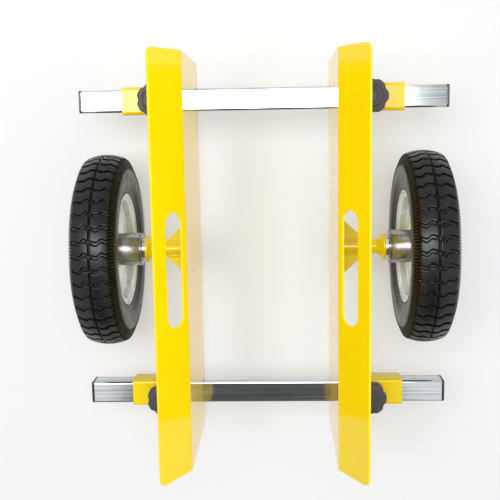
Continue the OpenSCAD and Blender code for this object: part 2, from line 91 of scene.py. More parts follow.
# Colours; a pair is blended by a pattern from its first to its second
white = (1, 1, 1, 1)
paint_yellows = ((0.94, 0.690, 0.002, 1), (0.97, 0.725, 0.003, 1))
chip_brown = (0.14, 0.11, 0.05, 1)
chip_reach = 0.03
chip_rarity = 0.9
zinc_greys = ((0.40, 0.445, 0.465, 1), (0.88, 0.92, 0.94, 1))
hub_greys = ((0.25, 0.255, 0.26, 1), (0.42, 0.43, 0.44, 1))
# A blue cast is painted into the silvers to offset the yellow light the frame reflects onto the rims
rim_silvers_blued_against_bounce = ((0.84, 0.885, 1.0, 1), (0.88, 0.92, 1.0, 1))
rim_dirt = (0.46, 0.46, 0.44, 1)
tread_blacks = ((0.006, 0.006, 0.0063, 1), (0.012, 0.0118, 0.0115, 1))
sidewall_browns = ((0.009, 0.0078, 0.007, 1), (0.020, 0.0175, 0.016, 1))
# Painted shade for the shoulders' ribs, dark brown with the yellow frame's reflection painted in
painted_rib_shade = (0.007, 0.0055, 0.004, 1)
# Painted shade in the tread's grooves and between the ribs
painted_shade_black = (0.002, 0.002, 0.002, 1)
tube_greys = ((0.018, 0.018, 0.018, 1), (0.035, 0.034, 0.033, 1))
cap_greys = ((0.024, 0.024, 0.025, 1), (0.038, 0.038, 0.040, 1))
knob_greys = ((0.052, 0.045, 0.053, 1), (0.075, 0.067, 0.077, 1))
bearing_greys = ((0.022, 0.022, 0.024, 1), (0.62, 0.63, 0.65, 1))

# Tyre: the outline repeats that of its solid, and the tread, ribs and rings are cut finer
tread_w = 0.060
tread_fall = 0.006
tread_t = 0.011
tread_rows = 20
tread_colour_start = 0.012
tread_colour_full = 0.006
middle_groove_w = 0.004
middle_groove_depth = 0.004
# Share of painted shade in the middle groove
middle_groove_shade = 0.6
cross_count = 46
cross_w = 0.007
cross_depth = 0.0034
wave_h = 0.003
wave_shares = ((0.0, 0.0), (0.3, 1.0), (0.6, -1.0), (1.0, 0.0))
groove_wall = 0.0004
groove_lip_share = 0.12
edge_shares = (-0.42, 0.12)
wide_share = 0.45
shoulder_rows = 16
flank_rows = 30
inside_rows = 6
rib_h = 0.0024
rib_shares = (0.03, 0.70)
rib_fade_share = 0.06
groove_end_share = 0.20
ribs_per_pitch = 4
columns_per_rib = 4
sidewall_t = 0.005
rim_lip_gap = 0.0025
bead_inset = 0.0059
bead_w = 0.008
bead_h = 0.011
# Rings round the sidewall as (radius, height, half width)
side_rings = ((0.1455, 0.0007, 0.0020), (0.1180, 0.0010, 0.0018), (0.1090, 0.0006, 0.0015))

# Welds: a bead's thickness is its least share, plus what its scales and its slow wander add, and it thins
# towards its ends
sleeve_weld_r = 0.0034
gusset_weld_r = 0.0034
axle_weld_r = 0.0038
nut_weld_r = 0.0018
weld_seeds = {"sleeve": 3, "nut": 5, "axle": 7, "gusset": 9, "wall": 11}
weld_ripple = 0.0055
weld_steps_per_ripple = 6
weld_sides = 12
weld_least_share = 0.76
weld_scale_share = 0.32
weld_wander_share = 0.10
weld_wander_steps = 5
weld_end_share = 0.35
weld_end_steps = 8
weld_ring_points = 48
upright_limit = 0.9
# Collar welds: lumps that slant round a flare, with two slow waves round it
collar_t = 0.006
fillet_lead = 0.003
fillet_r = 0.0225
fillet_rows, fillet_columns = 14, 88
fillet_flare_power = 1.7
fillet_lumps = 11
fillet_lump_h = 0.0012
fillet_lump_start = 0.1
fillet_slant = 0.8
fillet_wave_share = 0.4
fillet_wave_counts = (3, 5)
fillet_wave_drift = 4

# Clamps
thread_pitch = 0.00175
thread_depth = 0.0009
thread_tip = 0.002
thread_tip_share = 0.72
thread_rows_per_pitch = 6
thread_columns = 28
knob_lobes = 7
knob_columns_per_lobe = 24
knob_edge = 0.004
knob_edge_steps = 6
knob_foot_edge = 0.002
knob_foot_steps = 3
knob_foot_inset = 0.006
knob_crown_r = 0.020
knob_crown_h = 0.002
knob_boss_r = 0.013
knob_boss_h = 0.0025
knob_bore_r = 0.0065
knob_hollow_r = 0.012
knob_hollow_depth = 0.0026
knob_blend = 0.0012
knob_fine = 0.0005
knob_groove_r = 0.0140

# End caps
cap_edge = 0.0015
cap_edge_steps = 5
cap_corner = 0.004
cap_corner_steps = 8
cap_plate = 0.005
cap_plug_half = 0.0179
cap_plug_corner = 0.002
cap_fine = 0.0003
cap_panel_inset = 0.006

# Wheels and edges
hub_seam_at = 0.0026
hub_seam_w = 0.0009
hub_seam_depth = 0.0010
hub_edge = 0.0008
hub_columns = 96
bearing_shield_share = 0.2
valve_cap_len = 0.012
valve_cap_flutes = 14
valve_cap_columns_per_flute = 6
valve_cap_flute_h = 0.0005
plate_edge_r = 0.0010
edge_r = 0.0006
fine_edge_r = 0.0003
edge_segments = 3
edge_angle = math.radians(38)
flat_angle = math.radians(0.4)
join_reach = 1e-5

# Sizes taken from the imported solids
wheel_joint = next(j for j in frame["joints"] if j["name"] == "right_wheel_spin")
wheel_x, _, wheel_z = wheel_joint["pos_m"]
tyre_lo, tyre_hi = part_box("right_tyre")
tyre_r = tyre_hi.z - wheel_z
tyre_half_w = (tyre_hi.x - tyre_lo.x) / 2
rim_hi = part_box("right_rim_outer")[1]
lip_r = rim_hi.z - wheel_z
rim_half_w = rim_hi.x - wheel_x
seat_r = lip_r - bead_h
axle_lo, axle_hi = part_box("right_axle")
axle_r = axle_hi.y
wall_out = axle_lo.x
bearing_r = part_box("right_inner_bearing")[1].y
plate_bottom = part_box("right_side_plate")[0].z
screw_lo, screw_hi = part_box("right_rear_screw")
knob_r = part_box("right_rear_knob")[1].x - (screw_lo.x + screw_hi.x) / 2
slots = {part["node"]: part["material_slot"] for part in frame["record"]["subparts"]}
cap_slot = slots["right_valve_cap"]


# Materials

def shader(name, **values):
    """A new material with these constant values on its shader; underscores in the names stand for spaces."""
    material = bpy.data.materials.new(name)
    material.use_nodes = True
    principled = material.node_tree.nodes["Principled BSDF"]
    for key, value in values.items():
        principled.inputs[key.replace("_", " ")].default_value = value
    return material, material.node_tree, principled


def dress(tree, principled, **sources):
    """Links patterns to the shader; underscores in the names stand for spaces."""
    for key, source in sources.items():
        tree.links.new(source, principled.inputs[key.replace("_", " ")])


def add(tree, kind, inputs=(), **settings):
    """A new node with its settings, and each input either linked or set."""
    node = tree.nodes.new(kind)
    for key, value in settings.items():
        setattr(node, key, value)
    for key, value in dict(inputs).items():
        if isinstance(value, bpy.types.NodeSocket):
            tree.links.new(value, node.inputs[key])
        else:
            node.inputs[key].default_value = value
    return node


def place(tree, scale=(1, 1, 1)):
    """The point on the piece, in metres times scale."""
    source = add(tree, "ShaderNodeTexCoord").outputs["Object"]
    return add(tree, "ShaderNodeMapping", {"Vector": source, "Scale": scale}).outputs["Vector"]


def noise(tree, vector, scale, detail=2.0):
    """A cloudy pattern, about zero to one."""
    settings = {"Vector": vector, "Scale": scale, "Detail": detail}
    return add(tree, "ShaderNodeTexNoise", settings).outputs["Fac"]


def cells(tree, vector, scale):
    """Distance from the middle of a cell, and a random grey for each cell."""
    node = add(tree, "ShaderNodeTexVoronoi", {"Vector": vector, "Scale": scale})
    grey = add(tree, "ShaderNodeSeparateColor", {0: node.outputs["Color"]}).outputs["Red"]
    return node.outputs["Distance"], grey


def spread(tree, value, low, high, start=0.3, end=0.7):
    """Maps a value between start and end onto low to high."""
    ends = {"Value": value, "From Min": start, "From Max": end, "To Min": low, "To Max": high}
    return add(tree, "ShaderNodeMapRange", ends).outputs["Result"]


def blend_colour(tree, factor, first, second):
    """From the first colour to the second by a factor; inputs 6 and 7 are the node's colours."""
    node = add(tree, "ShaderNodeMix", {0: factor, 6: first, 7: second}, data_type="RGBA")
    return node.outputs[2]


def math_node(tree, operation, first, second=0.0):
    """One operation on one or two values."""
    return add(tree, "ShaderNodeMath", {0: first, 1: second}, operation=operation).outputs[0]


def times(tree, first, *others):
    """The product of all the values."""
    for other in others:
        first = math_node(tree, "MULTIPLY", first, other)
    return first


def bump(tree, principled, height, strength, distance):
    """Fine relief on the shader."""
    node = add(tree, "ShaderNodeBump", {"Height": height, "Strength": strength, "Distance": distance})
    dress(tree, principled, Normal=node.outputs["Normal"])


def seen_ray(tree):
    """One where a ray comes from the camera, a mirror or a window, and otherwise zero."""
    ray = add(tree, "ShaderNodeLightPath").outputs
    bounced = math_node(tree, "MAXIMUM", ray["Is Glossy Ray"], ray["Is Transmission Ray"])
    return math_node(tree, "MAXIMUM", ray["Is Camera Ray"], bounced)


def wheel_radius(tree):
    """Distance of a point from the axles' line."""
    parts = add(tree, "ShaderNodeSeparateXYZ", {0: place(tree)}).outputs
    rise = math_node(tree, "SUBTRACT", parts["Z"], wheel_z)
    flat = add(tree, "ShaderNodeCombineXYZ", {"Y": parts["Y"], "Z": rise}).outputs[0]
    return add(tree, "ShaderNodeVectorMath", {0: flat}, operation="LENGTH").outputs["Value"]


def yellow_paint():
    """Smooth gloss paint, a little cloudy, with a few small chips."""
    material, tree, principled = shader("yellow_paint")
    point = place(tree)
    paint = blend_colour(tree, spread(tree, noise(tree, point, scale=7, detail=3), 0, 1), *paint_yellows)
    from_middle, grey = cells(tree, point, scale=40)
    small = math_node(tree, "LESS_THAN", from_middle, chip_reach)
    rare = math_node(tree, "GREATER_THAN", grey, chip_rarity)
    colour = blend_colour(tree, times(tree, small, rare), paint, chip_brown)
    roughness = spread(tree, noise(tree, point, scale=40), low=0.08, high=0.13)
    dress(tree, principled, Base_Color=colour, Roughness=roughness)
    bump(tree, principled, noise(tree, point, scale=60, detail=1), strength=0.02, distance=0.0005)
    return material


def zinc():
    """Galvanised steel with spangle and long streaks."""
    material, tree, principled = shader("zinc", Metallic=1.0)
    streak = noise(tree, place(tree, scale=(3, 190, 190)), scale=1, detail=3)
    fine = noise(tree, place(tree, scale=(9, 900, 900)), scale=1)
    grey = cells(tree, place(tree, scale=(40, 95, 95)), scale=1)[1]
    # Patterns with their weights
    patterns = ((grey, 0.05), (streak, 0.65), (fine, 0.30))
    mixed = times(tree, *patterns[0])
    for pattern, weight in patterns[1:]:
        mixed = math_node(tree, "ADD", mixed, times(tree, pattern, weight))
    colour = blend_colour(tree, spread(tree, mixed, 0, 1, start=0.32, end=0.68), *zinc_greys)
    roughness = spread(tree, mixed, low=0.05, high=0.10, start=0.25, end=0.75)
    dress(tree, principled, Base_Color=colour, Roughness=roughness)
    bump(tree, principled, streak, strength=0.08, distance=0.0003)
    return material


def hub_steel():
    """Bright turned steel with the fine lines of the lathe round it."""
    material, tree, principled = shader("hub_steel", Metallic=1.0)
    lines = noise(tree, place(tree, scale=(1500, 6, 6)), scale=1)
    patches = noise(tree, place(tree), scale=45, detail=3)
    colour = blend_colour(tree, spread(tree, patches, 0, 1), *hub_greys)
    dress(tree, principled, Base_Color=colour, Roughness=spread(tree, patches, low=0.22, high=0.32))
    bump(tree, principled, lines, strength=0.05, distance=0.0002)
    return material


def rim_silver():
    """Silver paint on pressed sheet, with faint streaks and a blue cast painted in against the frame's yellow
    reflected light.
    """
    material, tree, principled = shader("rim_silver", Metallic=0.55)
    point = place(tree)
    # The silver's blue cast is painted in against the frame's yellow reflected light
    silver = blend_colour(tree, spread(tree, noise(tree, point, scale=1800, detail=1), 0, 1), *rim_silvers_blued_against_bounce)
    streak = noise(tree, place(tree, scale=(200, 12, 60)), scale=1, detail=3)
    dirt = spread(tree, streak, low=0.0, high=0.6, start=0.5, end=0.75)
    colour = blend_colour(tree, dirt, silver, rim_dirt)
    roughness = spread(tree, noise(tree, point, scale=40), low=0.14, high=0.24)
    dress(tree, principled, Base_Color=colour, Roughness=roughness)
    bump(tree, principled, noise(tree, point, scale=500), strength=0.04, distance=0.0003)
    return material


def tyre_rubber():
    """Black rubber with brownish bloom on the sidewalls, a painted dark brown shade with a painted brown
    reflection of the yellow frame on the shoulders' ribs, and painted shade, dull and dark, in the tread's grooves
    and between the ribs."""
    material, tree, principled = shader("tyre_rubber")
    point = place(tree)
    tread = spread(tree, wheel_radius(tree), 0, 1, tyre_r - tread_colour_start, tyre_r - tread_colour_full)
    dust = spread(tree, noise(tree, point, scale=26, detail=4), 0, 1, start=0.45, end=0.75)
    sidewall = blend_colour(tree, dust, *sidewall_browns)
    colour = blend_colour(tree, tread, sidewall, blend_colour(tree, dust, *tread_blacks))
    # Painted shade on the ribs' tops: dark brown, with the yellow frame's brown reflection painted in
    rib = add(tree, "ShaderNodeAttribute", attribute_name="rib").outputs["Fac"]
    colour = blend_colour(tree, rib, colour, painted_rib_shade)
    # Painted shade, darker and duller, in the groove walls, the middle groove and between the ribs
    crevice_shade = add(tree, "ShaderNodeAttribute", attribute_name="crevice_shade").outputs["Fac"]
    colour = blend_colour(tree, crevice_shade, colour, painted_shade_black)
    gloss = spread(tree, crevice_shade, low=0.32, high=0.03, start=0, end=1)
    roughness = spread(tree, noise(tree, point, scale=70, detail=3), low=0.24, high=0.38)
    dress(tree, principled, Base_Color=colour, Specular_IOR_Level=gloss, Roughness=roughness)
    bump(tree, principled, noise(tree, point, scale=1300), strength=0.12, distance=0.0003)
    return material


def tube_rubber():
    """Dull rubber of the air tubes."""
    material, tree, principled = shader("tube_rubber")
    point = place(tree)
    colour = blend_colour(tree, noise(tree, point, scale=60), *tube_greys)
    roughness = spread(tree, noise(tree, point, scale=120), low=0.45, high=0.6)
    dress(tree, principled, Base_Color=colour, Roughness=roughness)
    bump(tree, principled, noise(tree, point, scale=1500), strength=0.1, distance=0.0002)
    return material


def moulded_plastic(name, greys, grain, smoothest, roughest):
    """Black plastic with the fine grain of its mould."""
    material, tree, principled = shader(name, Specular_IOR_Level=0.45)
    point = place(tree)
    colour = blend_colour(tree, spread(tree, noise(tree, point, scale=35, detail=3), 0, 1), *greys)
    roughness = spread(tree, noise(tree, point, scale=80), smoothest, roughest)
    dress(tree, principled, Base_Color=colour, Roughness=roughness)
    bump(tree, principled, noise(tree, point, scale=2200), grain, distance=0.0003)
    return material


def sealed_bearing():
    """Steel rings on either side of a dark shield."""
    material, tree, principled = shader("sealed_bearing")
    middle = (bearing_r + axle_r) / 2
    shield_half = (bearing_r - axle_r) * bearing_shield_share
    from_middle = math_node(tree, "ABSOLUTE", math_node(tree, "SUBTRACT", wheel_radius(tree), middle))
    steel = math_node(tree, "GREATER_THAN", from_middle, shield_half)
    colour = blend_colour(tree, steel, *bearing_greys)
    roughness = spread(tree, noise(tree, place(tree), scale=300), low=0.24, high=0.38)
    dress(tree, principled, Base_Color=colour, Metallic=steel, Roughness=roughness)
    return material


# Meshes

def new_piece(name, points, faces, body, slot, replaces=(), finish=None):
    """A smooth mesh that rides on a body, takes a slot's finish or its own, and may stand for CAD nodes."""
    mesh = bpy.data.meshes.new(name)
    mesh.from_pydata([tuple(p) for p in points], [], faces)
    mesh.update()
    mesh.materials.append(finish or finishes[slot])
    for polygon in mesh.polygons:
        polygon.use_smooth = True
    piece = bpy.data.objects.new(name, mesh)
    scene.collection.objects.link(piece)
    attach(piece, body)
    if replaces:
        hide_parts(*replaces)
    return piece


def grid_faces(rows, columns, close_rows=False):
    """Quads over rows of points, each row a closed ring."""
    faces = []
    for r in range(rows if close_rows else rows - 1):
        for c in range(columns):
            a = r * columns + c
            b = r * columns + (c + 1) % columns
            n = (r + 1) % rows * columns
            faces.append((a, b, n + (c + 1) % columns, n + c))
    return faces


def closed_faces(rows, columns):
    """Quads over rows of points with a lid on the first and the last row."""
    first = tuple(reversed(range(columns)))
    last = tuple(range((rows - 1) * columns, rows * columns))
    return grid_faces(rows, columns) + [first, last]


def turned_over(faces):
    """The same faces, seen from the other side."""
    return [tuple(reversed(face)) for face in faces]


def mix(a, b, t):
    """From a to b by t."""
    return a + (b - a) * t


def smooth(t):
    """A soft step from zero to one."""
    t = min(max(t, 0.0), 1.0)
    return t * t * (3 - 2 * t)


def bezier(a, b, c, d, t):
    """A point on the curve from a to d that b and c bend."""
    u = 1 - t
    return u * u * u * a + 3 * u * u * t * b + 3 * u * t * t * c + t * t * t * d


def around(count):
    """Angles of points evenly spaced round a circle."""
    return [TURN * k / count for k in range(count)]


def soften(node, radius):
    """Rounds the edges of a solid and evens out its shading; its own points stay as they are."""
    solid = frame["nodes"][node]
    solid.modifiers.new("joined", "WELD").merge_threshold = join_reach
    flats = solid.modifiers.new("flats", "DECIMATE")
    flats.decimate_type = "DISSOLVE"
    flats.angle_limit = flat_angle
    edges = solid.modifiers.new("edges", "BEVEL")
    edges.width = radius
    edges.segments = edge_segments
    edges.limit_method = "ANGLE"
    edges.angle_limit = edge_angle
    solid.modifiers.new("shading", "WEIGHTED_NORMAL").keep_sharp = False


# Tyres

def wave(across):
    """Shift of a tread groove along the tread, at a distance from the tyre's middle plane."""
    half = tread_w / 2
    share = across / half if across >= 0 else across / half + 1
    if not 0 <= share <= 1:
        return 0.0
    for (s0, h0), (s1, h1) in zip(wave_shares, wave_shares[1:]):
        if share <= s1:
            return wave_h * mix(h0, h1, smooth((share - s0) / (s1 - s0)))
    return 0.0


def ring_rise(radius):
    """Height of the moulded rings at a radius on the sidewall."""
    return sum(h * smooth(1 - abs(radius - middle) / half) for middle, h, half in side_rings)


def tyre_rows():
    """Half of the tyre's section from the middle of the tread to the crown inside.
    Each row is (radius and distance from the middle plane, depth of the grooves, height of the ribs)."""
    half = tread_w / 2
    bulge = 2 * tyre_half_w - tread_w
    groove_half = middle_groove_w / 2
    rows = [(Vector((tyre_r - middle_groove_depth, groove_half - groove_wall)), 0, 0)]
    rows.append((Vector((tyre_r - groove_wall, groove_half)), cross_depth, 0))
    for k in range(tread_rows):
        across = mix(groove_half + groove_wall, half - groove_wall, k / (tread_rows - 1))
        rows.append((Vector((tyre_r - tread_fall * (across / half) ** 2, across)), cross_depth, 0))
    edge = Vector((tyre_r - tread_fall, half))
    wide = Vector(((tyre_r + lip_r) / 2, tyre_half_w))
    bead = Vector((lip_r + rim_lip_gap, rim_half_w))
    shoulder = (edge, edge + bulge * Vector(edge_shares), wide + Vector((bulge * wide_share, 0)), wide)
    start, end = rib_shares
    for k in range(1, shoulder_rows + 1):
        t = k / shoulder_rows
        point = bezier(*shoulder, t)
        ribbed = smooth((t - start) / rib_fade_share) * smooth((end - t) / rib_fade_share)
        groove = cross_depth * smooth(1 - t / groove_end_share)
        rows.append((point + Vector((0, ring_rise(point[0]))), groove, rib_h * ribbed))
    flank = (wide, wide - Vector((bulge, 0)), bead + Vector((bulge, bulge / 4)), bead)
    for k in range(1, flank_rows + 1):
        point = bezier(*flank, k / flank_rows)
        rows.append((point + Vector((0, ring_rise(point[0]))), 0, 0))
    seat_x = rim_half_w - bead_inset
    heel, toe = seat_r + groove_wall, seat_x - bead_w
    rows += [(Vector(p), 0, 0) for p in ((lip_r + groove_wall, seat_x), (heel, seat_x), (heel, toe))]
    inner_wide = Vector((wide[0], tyre_half_w - sidewall_t))
    neck = Vector((seat_r + bead_h, seat_x - bead_w / 2))
    top = tyre_r - tread_t
    lower = (neck, neck + Vector((bulge, 0)), inner_wide - Vector((bulge, 0)), inner_wide)
    upper = (inner_wide, inner_wide + Vector((bulge, 0)), Vector((top, half)), Vector((top, 0)))
    rows += [(bezier(*lower, k / inside_rows), 0, 0) for k in range(inside_rows)]
    rows += [(bezier(*upper, k / inside_rows), 0, 0) for k in range(inside_rows + 1)]
    return rows


def tread_columns():
    """For one pitch of the tread: place on the tread, depth share in the cross groove, whether it is a wall
    of that groove, place on the ribs and height share there."""
    pitch = TURN * tyre_r / cross_count
    half = cross_w / 2
    lip = groove_lip_share
    walls = ((-half - groove_wall, 0), (-half, lip), (-half + groove_wall, 1), (-half / 3, 1),
             (half / 3, 1), (half - groove_wall, 1), (half, lip), (half + groove_wall, 0))
    wall_columns = (1, 2, len(walls) - 3, len(walls) - 2)
    columns = [(x / pitch, depth, int(k in wall_columns)) for k, (x, depth) in enumerate(walls)]
    count = ribs_per_pitch * columns_per_rib
    block = count - len(walls)
    start, end = columns[-1][0], 1 + columns[0][0]
    columns += [(mix(start, end, (k + 1) / (block + 1)), 0, 0) for k in range(block)]
    ribs = [(columns[0][0] + k / count, int(k % columns_per_rib < columns_per_rib / 2)) for k in range(count)]
    return [(*c, *r) for c, r in zip(columns, ribs)]


def tyre(name, side):
    """The moulded tyre, with its painted shade in grooves and between ribs, and how far each point is on a rib."""
    half = tyre_rows()
    rows = half + [(Vector((p[0], -p[1])), g, r) for p, g, r in reversed(half[:-1])]
    columns = tread_columns()
    count = len(rows)
    points = []
    crevice_shades = []
    ribs = []
    for i, (point, groove, rib) in enumerate(rows):
        along = rows[(i + 1) % count][0] - rows[i - 1][0]
        normal = Vector((along[1], -along[0])).normalized()
        on_ribs = smooth((tyre_r - tread_fall - point[0]) / wave_h)
        shift = wave(point[1]) / tyre_r * (1 - on_ribs)
        for k in range(cross_count):
            for tread_at, depth, wall, rib_at, height in columns:
                angle = (k + 0.5 + mix(tread_at, rib_at, on_ribs)) * TURN / cross_count + shift
                lift = rib * height - groove * depth
                radius = point[0] + normal[0] * lift
                x = wheel_x + point[1] + normal[1] * lift
                y, z = radius * math.sin(angle), wheel_z - radius * math.cos(angle)
                points.append(Vector((side * x, side * y, z)))
                # Painted shade: on the groove walls, between the ribs and in the middle groove
                in_groove = wall * groove / cross_depth
                between_ribs = (1 - height) * rib / rib_h
                in_middle = middle_groove_shade if abs(point[1]) < middle_groove_w / 2 else 0.0
                crevice_shades.append(max(in_groove, between_ribs, in_middle))
                ribs.append(height * rib / rib_h)
    faces = grid_faces(count, cross_count * len(columns), close_rows=True)
    piece = new_piece(f"{name}_moulded_tyre", points, faces, f"{name}_wheel", "tyre_rubber", [f"{name}_tyre"])
    for label, values in (("crevice_shade", crevice_shades), ("rib", ribs)):
        piece.data.attributes.new(label, "FLOAT", "POINT").data.foreach_set("value", values)


# Welds

def weld(name, path, radius, body, seed, closed=False):
    """A bead of overlapping scales along a path."""
    rng = random.Random(seed)
    ends = path[1:] + path[:1] if closed else path[1:]
    stations = []
    for start, end in zip(path, ends):
        steps = max(1, round((end - start).length / (weld_ripple / weld_steps_per_ripple)))
        stations += [start.lerp(end, k / steps) for k in range(steps)]
    if not closed:
        stations.append(path[-1])
    count = len(stations)
    wander = [rng.uniform(-1, 1) for _ in range(count // weld_wander_steps + 2)]
    points = []
    walked = 0.0
    for i, station in enumerate(stations):
        before = stations[i - 1] if closed or i else station
        after = stations[(i + 1) % count] if closed or i < count - 1 else station
        along = (after - before).normalized()
        walked += (station - before).length if i else 0.0
        upright = abs(along.z) > upright_limit
        side = along.cross(Vector((0, 1, 0) if upright else (0, 0, 1))).normalized()
        up = along.cross(side)
        scale = walked / weld_ripple % 1.0
        lap, step = divmod(i, weld_wander_steps)
        slow = mix(wander[lap], wander[lap + 1], step / weld_wander_steps)
        size = radius * (weld_least_share + weld_scale_share * math.sqrt(scale) + weld_wander_share * slow)
        if not closed:
            size *= mix(weld_end_share, 1.0, smooth(min(i, count - 1 - i) / weld_end_steps))
        for angle in around(weld_sides):
            points.append(station + size * (math.cos(angle) * side + math.sin(angle) * up))
    faces = grid_faces(count, weld_sides, close_rows=True) if closed else closed_faces(count, weld_sides)
    new_piece(name, points, faces, body, "yellow_paint")


def ring_path(centre, radius, axis):
    """Points round a circle about X or Z."""
    points = []
    for angle in around(weld_ring_points):
        a, b = radius * math.cos(angle), radius * math.sin(angle)
        points.append(centre + Vector((0, a, b) if axis == "X" else (a, b, 0)))
    return points


def collar_fillet(name, side):
    """The weld that flares from the axle to the back of the collar, in overlapping lumps."""
    lo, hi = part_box(f"{name}_collar")
    start, end = (lo.x, hi.x) if side > 0 else (hi.x, lo.x)
    back = end - side * collar_t
    first_wave, second_wave = fillet_wave_counts
    points = []
    for r in range(fillet_rows):
        t = r / (fillet_rows - 1)
        x = mix(start - side * fillet_lead, back + side * edge_r, t)
        flare = mix(axle_r - edge_r, fillet_r, t ** fillet_flare_power)
        bulge = fillet_lump_h * math.sin(math.pi * min(t + fillet_lump_start, 1.0))
        for angle in around(fillet_columns):
            scale = (fillet_lumps * angle / TURN + fillet_slant * t) % 1.0
            slow = math.sin(first_wave * angle + side) + math.sin(second_wave * angle + fillet_wave_drift * t)
            radius = flare + bulge * (math.sqrt(scale) + fillet_wave_share * slow)
            points.append(Vector((x, side * radius * math.cos(angle), wheel_z + radius * math.sin(angle))))
    faces = turned_over(closed_faces(fillet_rows, fillet_columns))
    new_piece(f"{name}_collar_weld", points, faces, f"{name}_frame", "yellow_paint")


def frame_welds(name, side):
    """The beads of one side frame: round its sleeves, nuts and axle, and along its gussets."""
    body = f"{name}_frame"
    wall = side * wall_out
    for end, away in ENDS.items():
        lo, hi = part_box(f"{name}_{end}_sleeve")
        low = plate_bottom + sleeve_weld_r
        corners = ((lo.y, low), (lo.y, hi.z), (hi.y, hi.z), (hi.y, low))
        path = [Vector((wall, y, z)) for y, z in corners]
        weld(f"{name}_{end}_sleeve_weld", path, sleeve_weld_r, body, weld_seeds["sleeve"] + away)
        lo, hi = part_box(f"{name}_{end}_nut")
        foot = Vector(((lo.x + hi.x) / 2, (lo.y + hi.y) / 2, lo.z))
        path = ring_path(foot, (hi.x - lo.x) / 2, "Z")
        weld(f"{name}_{end}_nut_weld", path, nut_weld_r, body, weld_seeds["nut"] + away, closed=True)
    path = ring_path(Vector((wall, 0, wheel_z)), axle_r, "X")
    weld(f"{name}_axle_weld", path, axle_weld_r, body, weld_seeds["axle"], closed=True)
    lo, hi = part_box(f"{name}_gussets")
    tip = hi.x if side > 0 else lo.x
    for label, across in ENDS.items():
        for level, z in (("under", lo.z), ("over", hi.z)):
            beside = across * math.sqrt(axle_r ** 2 - (z - wheel_z) ** 2)
            inner = Vector((wall, beside, z))
            ways = {"gusset": Vector((tip, beside, z)), "wall": Vector((wall, across * hi.y, z))}
            for kind, outer in ways.items():
                bead = f"{name}_{label}_{kind}_weld_{level}"
                weld(bead, [inner, outer], gusset_weld_r, body, weld_seeds[kind] + across)
    collar_fillet(name, side)


# Clamps

def upright_point(middle, radius, angle, z):
    """A point at a radius and an angle round an upright line."""
    return Vector((middle.x + radius * math.cos(angle), middle.y + radius * math.sin(angle), z))


def threaded_screw(name):
    """The clamp screw with its thread cut, pointed at the tip."""
    lo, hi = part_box(name)
    middle = (lo + hi) / 2
    outer = (hi.x - lo.x) / 2
    count = int((hi.z - lo.z) / (thread_pitch / thread_rows_per_pitch)) + 1
    points = []
    for r in range(count):
        z = mix(lo.z, hi.z, r / (count - 1))
        whole = mix(thread_tip_share, 1.0, smooth((z - lo.z) / thread_tip))
        for angle in around(thread_columns):
            share = (z / thread_pitch - angle / TURN) % 1.0
            radius = whole * (outer - thread_depth * abs(2 * share - 1))
            points.append(upright_point(middle, radius, angle, z))
    new_piece(f"{name}_threaded", points, closed_faces(count, thread_columns), name, "zinc", [name])


def knob_outline(angle):
    """Radius of the lobed outline, with the corners between lobes and hollows rounded."""
    step = TURN / knob_lobes
    from_hollow = angle % step - step / 2
    centre = knob_r - knob_hollow_depth + knob_hollow_r
    reach = knob_hollow_r ** 2 - (centre * math.sin(from_hollow)) ** 2
    cut = centre * math.cos(from_hollow) - math.sqrt(reach) if reach > 0 else knob_r + knob_hollow_depth
    t = min(max(0.5 + (cut - knob_r) / (2 * knob_blend), 0.0), 1.0)
    return mix(cut, knob_r, t) - knob_blend * t * (1 - t)


def star_knob(name):
    """The lobed knob with a boss below, a low crown and a ring cut in it round the screw."""
    lo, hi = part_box(name)
    screw_lo, screw_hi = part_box(name.replace("knob", "screw"))
    middle = (screw_lo + screw_hi) / 2
    foot = lo.z + knob_boss_h
    rim = hi.z - knob_crown_h
    fine = knob_fine
    # Round rows as (radius, height), and lobed rows as (inset from the outline, height)
    under = [(knob_bore_r, lo.z), (knob_boss_r - fine, lo.z), (knob_boss_r, lo.z + fine), (knob_boss_r, foot)]
    lobed = [(knob_foot_inset, foot)]
    for k in range(knob_foot_steps + 1):
        a = QUARTER * k / knob_foot_steps
        lobed.append((knob_foot_edge * (1 - math.sin(a)), foot + knob_foot_edge * (1 - math.cos(a))))
    for k in range(knob_edge_steps + 1):
        a = QUARTER * k / knob_edge_steps
        lobed.append((knob_edge * (1 - math.cos(a)), rim - knob_edge * (1 - math.sin(a))))
    crown = knob_crown_r - knob_crown_h
    over = [(knob_crown_r + fine, rim), (knob_crown_r, rim + fine)]
    over += [(crown + fine, hi.z - fine), (crown, hi.z)]
    over += [(knob_groove_r + fine, hi.z), (knob_groove_r, hi.z - fine)]
    over += [(knob_groove_r - fine, hi.z - fine), (knob_groove_r - 2 * fine, hi.z), (knob_bore_r, hi.z)]
    angles = around(knob_lobes * knob_columns_per_lobe)
    rows = [([radius] * len(angles), z) for radius, z in under]
    rows += [([knob_outline(angle) - inset for angle in angles], z) for inset, z in lobed]
    rows += [([radius] * len(angles), z) for radius, z in over]
    points = []
    for radii, z in rows:
        points += [upright_point(middle, radius, angle, z) for angle, radius in zip(angles, radii)]
    faces = closed_faces(len(rows), len(angles))
    new_piece(f"{name}_star", points, faces, name, "knob_plastic", [name])


# End caps

def rounded_square(half, radius):
    """Points round a square of this half width with rounded corners."""
    points = []
    flat = half - radius
    for corner, (sx, sy) in enumerate(((1, 1), (-1, 1), (-1, -1), (1, -1))):
        for k in range(cap_corner_steps + 1):
            a = QUARTER * (corner + k / cap_corner_steps)
            points.append((sx * flat + radius * math.cos(a), sy * flat + radius * math.sin(a)))
    return points


